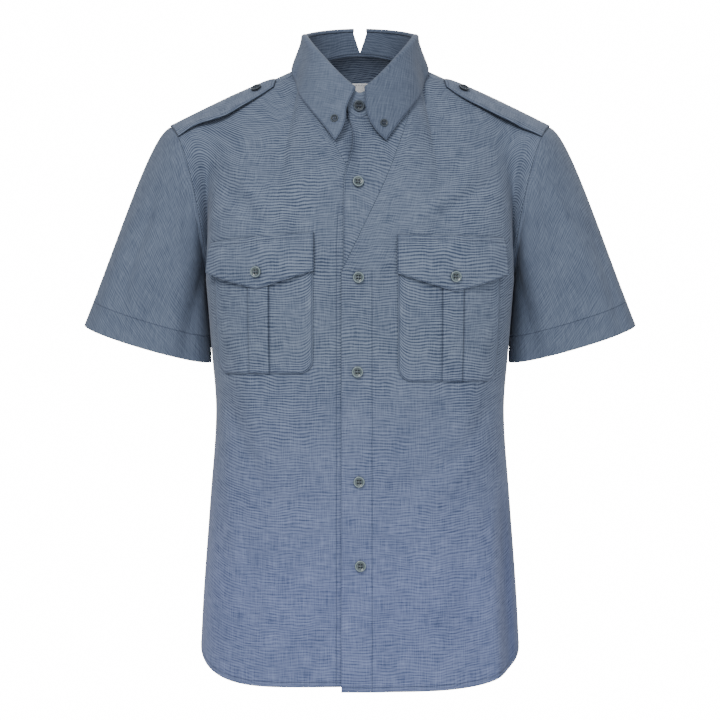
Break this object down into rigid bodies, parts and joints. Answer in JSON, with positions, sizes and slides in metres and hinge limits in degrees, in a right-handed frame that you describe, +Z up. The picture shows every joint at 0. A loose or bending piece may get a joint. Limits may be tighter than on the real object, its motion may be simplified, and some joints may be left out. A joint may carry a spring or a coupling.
{
  "type": "short-sleeved military shirt",
  "caption": "Short-sleeved button-front shirt, filled out as worn, with shoulder straps, flapped chest pockets and a button-down collar split at the back.",
  "frame": {"origin": "midway between the two side neck points, where the shirt rests on the wearer's shoulders", "axes": "+Z up along the wearer's body, the wearer faces -Y, +X is the wearer's left"},
  "size_m": [0.647, 0.258, 0.7824],
  "materials": {
    "shirting": "blue-grey cotton chambray in plain weave, matt with a faint sheen",
    "label": "plain white woven tape",
    "button": "dark pearly polyester, four holes"
  },
  "bodies": {
    "root": {"back": "shirting", "yoke": "shirting", "front_right": "shirting", "front_left": "shirting", "neck_inset_right": "shirting", "neck_inset_left": "shirting", "sleeve_right": "shirting", "sleeve_left": "shirting", "collar_stand": "shirting", "collar_leaf_right": "shirting", "collar_leaf_left": "shirting", "pocket_right": "shirting", "pocket_left": "shirting", "pocket_flap_right": "shirting", "pocket_flap_left": "shirting", "epaulette_right": "shirting", "epaulette_left": "shirting", "neck_label": "label", "button_front_1": "button", "button_front_2": "button", "button_front_3": "button", "button_front_4": "button", "button_front_5": "button", "button_stand": "button", "button_collar_right": "button", "button_collar_left": "button", "button_pocket_right": "button", "button_pocket_left": "button", "button_epaulette_right": "button", "button_epaulette_left": "button"}
  },
  "joints": []
}
